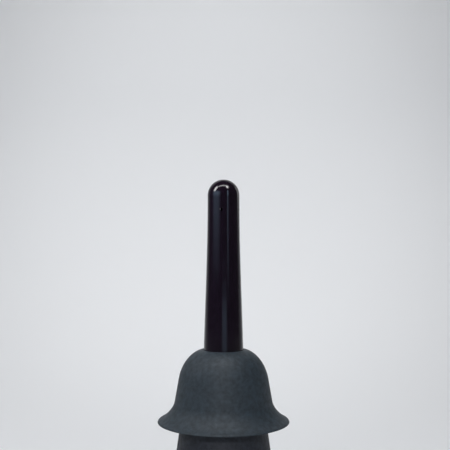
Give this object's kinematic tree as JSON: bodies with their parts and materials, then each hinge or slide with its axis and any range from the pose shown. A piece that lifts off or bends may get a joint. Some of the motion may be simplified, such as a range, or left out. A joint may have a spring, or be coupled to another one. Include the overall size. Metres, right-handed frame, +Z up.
{
  "type": "douche bulb",
  "caption": "Soft rubber squeeze bulb on a flat foot, with a tapered round-ended nozzle screwed into its neck and a bell-shaped guard over the joint.",
  "frame": {"origin": "on the floor, at the middle of the bulb's foot", "axes": "+Z up along the nozzle, -Y towards the side that the picture shows, +X to its right"},
  "size_m": [0.084, 0.084, 0.2359],
  "materials": {
    "bulb_rubber": "matt moulded rubber, near black",
    "bell_rubber": "matt moulded rubber, charcoal grey",
    "nozzle_plastic": "polished hard plastic, black",
    "bush_plastic": "moulded plastic, grey",
    "washer_rubber": "cut rubber sheet, dull red"
  },
  "bodies": {
    "bulb_body": {"bulb": "bulb_rubber"},
    "neck": {"neck_bushing": "bush_plastic"},
    "washer": {"sealing_washer": "washer_rubber"},
    "nozzle": {"nozzle": "nozzle_plastic"},
    "guard": {"bell_guard": "bell_rubber"}
  },
  "joints": [
    {"name": "bulb_squeeze", "type": "slide", "parent": "bulb_body", "child": "neck", "axis": [0, 0, -1], "range_m": [0, 0.025], "stiffness_N_per_m": 1800, "springref_m": -0.001, "deforming": ["bulb"]},
    {"name": "nozzle_rise", "type": "slide", "parent": "neck", "child": "washer", "axis": [0, 0, 1], "range_m": [0, 0.012]},
    {"name": "nozzle_unscrew", "type": "hinge", "parent": "washer", "child": "nozzle", "pos_m": [0, 0, 0.138], "axis": [0, 0, 1], "range_deg": [0, 1440]},
    {"name": "bell_slide", "type": "slide", "parent": "nozzle", "child": "guard", "axis": [0, 0, 1], "range_m": [0, 0.098]}
  ],
  "couplings": [
    {"joint": "nozzle_rise", "follows": "nozzle_unscrew", "m_per_rad": 0.00047746}
  ]
}
